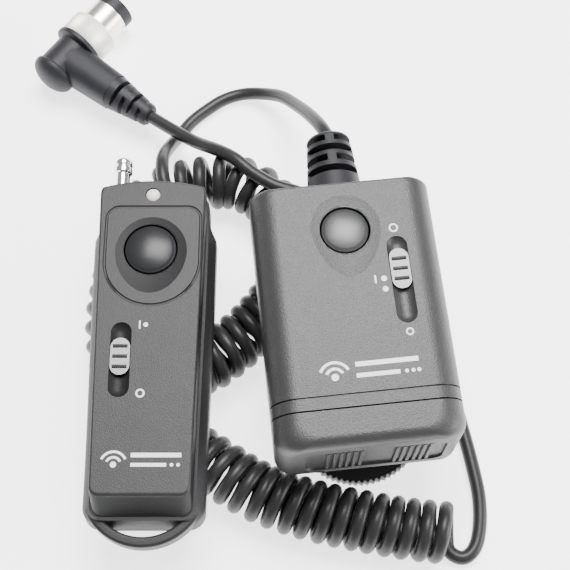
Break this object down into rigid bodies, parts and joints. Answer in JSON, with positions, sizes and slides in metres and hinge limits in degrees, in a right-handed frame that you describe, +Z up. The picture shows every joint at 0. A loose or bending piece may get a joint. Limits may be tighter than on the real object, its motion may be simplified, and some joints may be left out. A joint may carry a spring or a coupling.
{
  "type": "wireless remote release set",
  "caption": "Handheld radio transmitter with lanyard loop and shoe-mounted receiver on a part-coiled cord that ends in a right-angled multi-pin camera plug with a knurled lock ring.",
  "frame": {"origin": "centre of the footprint of the transmitter and receiver on the table", "axes": "+Z up from the table, +Y towards the button end of both housings, +X from the transmitter to the receiver"},
  "size_m": [0.1292, 0.1736, 0.0447],
  "materials": {
    "housing": "fine spark-eroded texture, satin",
    "handset": "fine texture, satin",
    "control": "smooth, semi-gloss",
    "rubber": "smooth moulded, semi-matte",
    "cord": "smooth jacket, semi-gloss",
    "foot": "satin",
    "lens": "milky cream, diffusing",
    "bright_metal": "polished",
    "plated": "nickel plated",
    "ring": "champagne anodised, satin",
    "pin": "plated",
    "board": "solder-masked",
    "cell": "printed metal jacket, plain",
    "screw": "plated"
  },
  "bodies": {
    "receiver": {"rx_top_shell": "housing", "rx_bottom_shell": "housing", "rx_mode_switch": "plated", "rx_pcb": "board", "rx_tact_switch": "control", "rx_battery": "cell", "rx_contact": "plated", "rx_strain_relief": "rubber", "rx_shoe_foot": "foot", "rx_screws": "screw", "plug_boot": "rubber", "plug_cap": "rubber", "plug_relief": "rubber", "plug_shell": "bright_metal", "plug_insulator": "control", "plug_pins": "pin", "cord_lead": "cord", "cord_coil": "cord", "cord_tail": "cord"},
    "receiver_cap": {"rx_battery_cap": "housing", "rx_cap_spring": "plated"},
    "receiver_button": {"rx_button": "control"},
    "mode_knob": {"rx_mode_knob": "control"},
    "lock_wheel": {"rx_lock_wheel": "foot"},
    "plug_ring": {"plug_lock_ring": "ring"},
    "transmitter": {"tx_front_shell": "handset", "tx_rear_shell": "handset", "tx_led": "lens", "tx_power_switch": "plated", "tx_pcb": "board", "tx_tact_switch": "control", "tx_battery": "cell", "tx_contact_plus": "plated", "tx_contact_spring": "plated", "tx_antenna_sleeve": "plated", "tx_screws": "screw"},
    "battery_door": {"tx_battery_door": "handset"},
    "transmitter_button": {"tx_button": "control"},
    "power_knob": {"tx_power_knob": "control"},
    "antenna_middle": {"tx_antenna_mid": "bright_metal"},
    "antenna_inner": {"tx_antenna_inner": "bright_metal", "tx_antenna_tip": "bright_metal"}
  },
  "joints": [
    {"name": "transmitter_lift", "type": "slide", "parent": "receiver", "child": "transmitter", "axis": [0, 0, 1], "range_m": [0, 0.06]},
    {"name": "transmitter_button_press", "type": "slide", "parent": "transmitter", "child": "transmitter_button", "axis": [0, 0, -1], "range_m": [0, 0.0008], "stiffness_N_per_m": 400, "springref_m": -0.0008},
    {"name": "power_slide", "type": "slide", "parent": "transmitter", "child": "power_knob", "axis": [0, 1, 0], "range_m": [-0.0033, 0.0033]},
    {"name": "antenna_middle_slide", "type": "slide", "parent": "transmitter", "child": "antenna_middle", "axis": [0, 1, 0], "range_m": [0, 0.034]},
    {"name": "antenna_inner_slide", "type": "slide", "parent": "antenna_middle", "child": "antenna_inner", "axis": [0, 1, 0], "range_m": [0, 0.034]},
    {"name": "battery_door_slide", "type": "slide", "parent": "transmitter", "child": "battery_door", "axis": [0, -1, 0], "range_m": [0, 0.03]},
    {"name": "receiver_button_press", "type": "slide", "parent": "receiver", "child": "receiver_button", "axis": [0, 0, -1], "range_m": [0, 0.0008], "stiffness_N_per_m": 400, "springref_m": -0.0008},
    {"name": "mode_slide", "type": "slide", "parent": "receiver", "child": "mode_knob", "axis": [-0.1045, 0.9945, 0], "range_m": [-0.0046, 0.003]},
    {"name": "receiver_cap_slide", "type": "slide", "parent": "receiver", "child": "receiver_cap", "axis": [0.1045, -0.9945, 0], "range_m": [0, 0.03]},
    {"name": "lock_wheel_turn", "type": "hinge", "parent": "receiver", "child": "lock_wheel", "pos_m": [0.02318, -0.0173, 0.0068], "axis": [0, 0, 1], "continuous": true},
    {"name": "plug_ring_turn", "type": "hinge", "parent": "receiver", "child": "plug_ring", "pos_m": [-0.05676, 0.10295, 0.0082], "axis": [0.6018, 0.7986, 0], "continuous": true}
  ]
}
